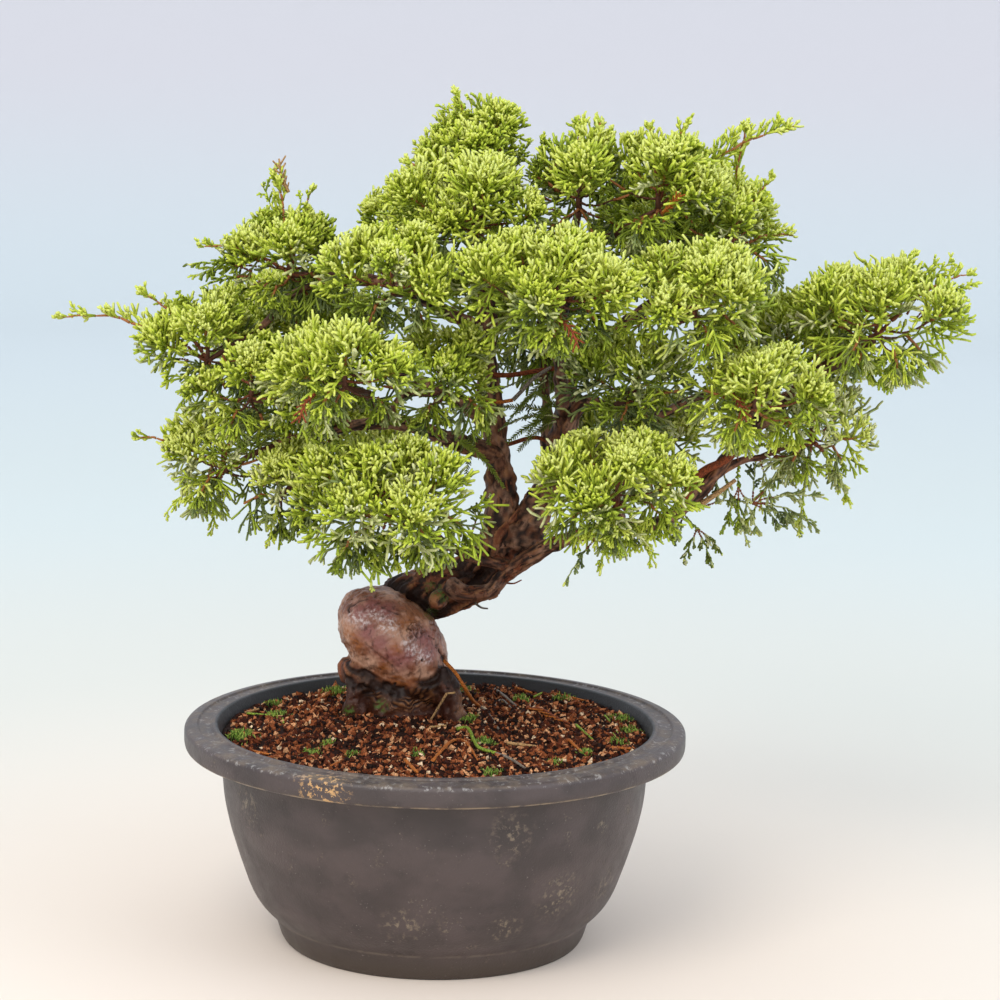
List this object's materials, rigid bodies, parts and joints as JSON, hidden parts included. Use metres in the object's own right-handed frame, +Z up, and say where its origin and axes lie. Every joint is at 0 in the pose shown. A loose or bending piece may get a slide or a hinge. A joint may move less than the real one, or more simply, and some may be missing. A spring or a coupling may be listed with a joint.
{
  "type": "potted itoigawa chinese juniper bonsai",
  "caption": "Itoigawa Chinese juniper bonsai in a round training pot, with a swollen leaning trunk, forked leaders, sinuous boughs and pads of foliage.",
  "frame": {"origin": "centre of the pot's flat underside", "axes": "+Z up the tree, -Y towards the front that the knuckle of the trunk leans to, +X towards the long right bough"},
  "size_m": [0.415, 0.2493, 0.387],
  "materials": {
    "pot_plastic": "moulded dark grey polypropylene, satin, scuffed and dusty",
    "soil": "coarse reddish brown grit with bark chips and moss",
    "bark": "smooth purple brown juniper bark with pale glossy patches and cracks",
    "foliage": "fine scale leaves in rope like shoots, yellow green tips on darker green"
  },
  "bodies": {
    "root": {"pot": "pot_plastic", "soil": "soil", "trunk": "bark", "leader_left": "bark", "leader_right": "bark", "bough_back": "bark", "bough_back_left": "bark", "bough_back_left_low": "bark", "bough_back_left_top": "bark", "bough_back_right": "bark", "bough_back_right_low": "bark", "bough_back_right_top": "bark", "bough_centre_left": "bark", "bough_centre_right": "bark", "bough_crown_left": "bark", "bough_crown_right": "bark", "bough_front": "bark", "bough_front_left": "bark", "bough_front_left_mid": "bark", "bough_front_right_low": "bark", "bough_left": "bark", "bough_left_centre": "bark", "bough_left_high": "bark", "bough_left_low_inner": "bark", "bough_left_tip": "bark", "bough_left_upper_front": "bark", "bough_right": "bark", "bough_right_high": "bark", "bough_right_low": "bark", "bough_right_mid": "bark", "bough_right_upper_front": "bark", "foliage_apex": "foliage", "foliage_back_centre": "foliage", "foliage_back_left": "foliage", "foliage_back_left_low": "foliage", "foliage_back_left_top": "foliage", "foliage_back_right": "foliage", "foliage_back_right_low": "foliage", "foliage_back_right_top": "foliage", "foliage_centre_left": "foliage", "foliage_centre_right": "foliage", "foliage_crown_centre": "foliage", "foliage_crown_left": "foliage", "foliage_crown_right": "foliage", "foliage_crown_right_outer": "foliage", "foliage_far_right": "foliage", "foliage_front_centre": "foliage", "foliage_front_left_low": "foliage", "foliage_front_left_mid": "foliage", "foliage_front_right_low": "foliage", "foliage_left_centre": "foliage", "foliage_left_low": "foliage", "foliage_left_low_inner": "foliage", "foliage_left_tip": "foliage", "foliage_left_upper": "foliage", "foliage_left_upper_front": "foliage", "foliage_right_low": "foliage", "foliage_right_mid": "foliage", "foliage_right_upper_front": "foliage"}
  },
  "joints": []
}
